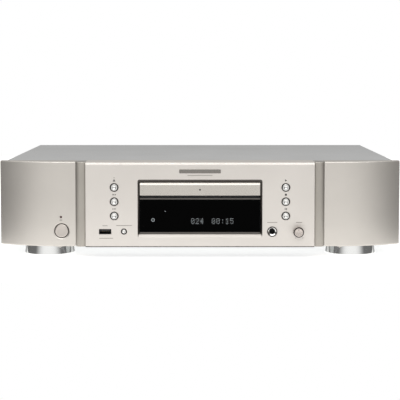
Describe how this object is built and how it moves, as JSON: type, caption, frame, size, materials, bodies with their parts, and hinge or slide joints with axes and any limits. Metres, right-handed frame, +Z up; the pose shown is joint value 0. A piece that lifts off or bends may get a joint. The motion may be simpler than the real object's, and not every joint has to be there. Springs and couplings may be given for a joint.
{
  "type": "cd player",
  "caption": "Full-size silver CD player: flat centre panel between swept wings, disc drawer over a dark display, round buttons, chrome feet.",
  "frame": {"origin": "on the floor under the middle of the outer box", "axes": "+X to the right as one faces the front, +Y to the rear, +Z up; the front faces -Y"},
  "size_m": [0.44, 0.341, 0.105],
  "materials": {
    "panel_aluminium": "fine bead-blasted, champagne silver anodised",
    "wing_silver": "satin champagne silver paint",
    "pillar_silver": "satin silver paint, one shade darker",
    "cover_paint": "satin silver paint on folded steel",
    "zinc_steel": "zinc plated sheet",
    "foot_chrome": "mirror chrome",
    "button_chrome": "polished and satin chrome",
    "bright_steel": "ground steel",
    "black_plastic": "fine moulded grain",
    "dark_plastic": "moulded",
    "grey_plastic": "satin moulded",
    "ivory_plastic": "natural acetal",
    "smoked_acrylic": "polished smoked acrylic",
    "display_glass": "glass envelope over dark anodes",
    "lens_glass": "coated lens",
    "led_red": "tinted lens",
    "rubber_black": "matt",
    "board_green": "solder mask",
    "board_tan": "phenolic paper",
    "transformer_core": "varnished laminations and winding",
    "jack_gold": "gold plated"
  },
  "bodies": {
    "chassis": {"bottom_chassis": "zinc_steel", "top_cover": "cover_paint", "rear_panel": "cover_paint", "front_panel": "panel_aluminium", "left_wing": "wing_silver", "right_wing": "wing_silver", "left_pillar": "pillar_silver", "right_pillar": "pillar_silver", "window_bezel": "grey_plastic", "display_window": "smoked_acrylic", "display_module": "display_glass", "control_board": "board_tan", "main_board": "board_green", "power_board": "board_tan", "mains_transformer": "transformer_core", "foot_front_left": "foot_chrome", "foot_pad_front_left": "rubber_black", "foot_front_right": "foot_chrome", "foot_pad_front_right": "rubber_black", "foot_rear_left": "foot_chrome", "foot_pad_rear_left": "rubber_black", "foot_rear_right": "foot_chrome", "foot_pad_rear_right": "rubber_black", "audio_out_jacks": "jack_gold", "digital_out_jacks": "black_plastic", "remote_jacks": "black_plastic", "ac_inlet": "black_plastic", "usb_port": "bright_steel", "headphone_jack": "button_chrome", "standby_led": "led_red", "power_switch": "dark_plastic", "loader_frame": "dark_plastic", "clamp_bridge": "zinc_steel", "loading_motor": "bright_steel", "drive_belt": "rubber_black"},
    "tray": {"disc_tray": "black_plastic", "tray_door": "panel_aluminium"},
    "motor_pulley": {"motor_pulley": "ivory_plastic"},
    "pulley_gear": {"pulley_gear": "ivory_plastic"},
    "drive_gear": {"drive_gear": "ivory_plastic"},
    "cam_slide": {"cam_slide": "ivory_plastic"},
    "disc_clamp": {"disc_clamp": "ivory_plastic"},
    "disc_mechanism": {"mechanism_plate": "black_plastic", "spindle_motor": "bright_steel", "guide_rod_left": "bright_steel", "guide_rod_right": "bright_steel", "sled_motor": "bright_steel"},
    "turntable": {"turntable": "dark_plastic"},
    "lead_screw": {"lead_screw": "bright_steel"},
    "pickup": {"pickup": "dark_plastic"},
    "objective_lens": {"objective_lens": "lens_glass"},
    "open_close_button": {"open_close_button": "button_chrome"},
    "skip_back_button": {"skip_back_button": "button_chrome"},
    "skip_forward_button": {"skip_forward_button": "button_chrome"},
    "play_button": {"play_button": "button_chrome"},
    "stop_button": {"stop_button": "button_chrome"},
    "pause_button": {"pause_button": "button_chrome"},
    "mode_button": {"mode_button": "button_chrome"},
    "power_button": {"power_button": "button_chrome"},
    "level_knob": {"level_knob": "panel_aluminium"}
  },
  "joints": [
    {"name": "tray_slide", "type": "slide", "parent": "chassis", "child": "tray", "axis": [0, -1, 0], "range_m": [0, 0.138]},
    {"name": "motor_pulley_spin", "type": "hinge", "parent": "chassis", "child": "motor_pulley", "pos_m": [-0.016, -0.13, 0.063], "axis": [0, 0, 1], "range_deg": [0, 3954]},
    {"name": "pulley_gear_spin", "type": "hinge", "parent": "chassis", "child": "pulley_gear", "pos_m": [0.012, -0.128, 0.063], "axis": [0, 0, 1], "range_deg": [0, 989]},
    {"name": "drive_gear_spin", "type": "hinge", "parent": "chassis", "child": "drive_gear", "pos_m": [0.036, -0.128, 0.068], "axis": [0, 0, -1], "range_deg": [0, 495]},
    {"name": "cam_slide_move", "type": "slide", "parent": "chassis", "child": "cam_slide", "axis": [1, 0, 0], "range_m": [0, 0.01795]},
    {"name": "mechanism_tilt", "type": "hinge", "parent": "chassis", "child": "disc_mechanism", "pos_m": [0, 0.006, 0.0575], "axis": [1, 0, 0], "range_deg": [0, 4.99]},
    {"name": "turntable_spin", "type": "hinge", "parent": "disc_mechanism", "child": "turntable", "pos_m": [0, -0.0885, 0.07], "axis": [0, 0, 1], "continuous": true},
    {"name": "clamp_spin", "type": "hinge", "parent": "chassis", "child": "disc_clamp", "pos_m": [0, -0.0885, 0.08], "axis": [0, 0, 1], "continuous": true},
    {"name": "pickup_slide", "type": "slide", "parent": "disc_mechanism", "child": "pickup", "axis": [0, 1, 0], "range_m": [0, 0.035]},
    {"name": "lead_screw_spin", "type": "hinge", "parent": "disc_mechanism", "child": "lead_screw", "pos_m": [0.034, -0.045, 0.0645], "axis": [0, -1, 0], "range_deg": [0, 4201]},
    {"name": "lens_focus", "type": "slide", "parent": "pickup", "child": "objective_lens", "axis": [0, 0, 1], "range_m": [-0.0005, 0.0005], "stiffness_N_per_m": 40},
    {"name": "open_close_press", "type": "slide", "parent": "chassis", "child": "open_close_button", "axis": [0, 1, 0], "range_m": [0, 0.001], "stiffness_N_per_m": 500},
    {"name": "skip_back_press", "type": "slide", "parent": "chassis", "child": "skip_back_button", "axis": [0, 1, 0], "range_m": [0, 0.001], "stiffness_N_per_m": 500},
    {"name": "skip_forward_press", "type": "slide", "parent": "chassis", "child": "skip_forward_button", "axis": [0, 1, 0], "range_m": [0, 0.001], "stiffness_N_per_m": 500},
    {"name": "play_press", "type": "slide", "parent": "chassis", "child": "play_button", "axis": [0, 1, 0], "range_m": [0, 0.001], "stiffness_N_per_m": 500},
    {"name": "stop_press", "type": "slide", "parent": "chassis", "child": "stop_button", "axis": [0, 1, 0], "range_m": [0, 0.001], "stiffness_N_per_m": 500},
    {"name": "pause_press", "type": "slide", "parent": "chassis", "child": "pause_button", "axis": [0, 1, 0], "range_m": [0, 0.001], "stiffness_N_per_m": 500},
    {"name": "mode_press", "type": "slide", "parent": "chassis", "child": "mode_button", "axis": [0, 1, 0], "range_m": [0, 0.001], "stiffness_N_per_m": 500},
    {"name": "power_press", "type": "slide", "parent": "chassis", "child": "power_button", "axis": [0, 1, 0], "range_m": [0, 0.003], "stiffness_N_per_m": 300},
    {"name": "level_turn", "type": "hinge", "parent": "chassis", "child": "level_knob", "pos_m": [0.1066, -0.165, 0.0293], "axis": [0, -1, 0], "range_deg": [-150, 150]}
  ],
  "couplings": [
    {"joint": "motor_pulley_spin", "follows": "tray_slide", "rad_per_m": 500},
    {"joint": "pulley_gear_spin", "follows": "tray_slide", "rad_per_m": 125},
    {"joint": "drive_gear_spin", "follows": "tray_slide", "rad_per_m": 62.5},
    {"joint": "cam_slide_move", "follows": "tray_slide", "ratio": 0.13},
    {"joint": "mechanism_tilt", "follows": "tray_slide", "rad_per_m": 0.63},
    {"joint": "clamp_spin", "follows": "turntable_spin", "ratio": 1},
    {"joint": "lead_screw_spin", "follows": "pickup_slide", "rad_per_m": 2094.4}
  ]
}
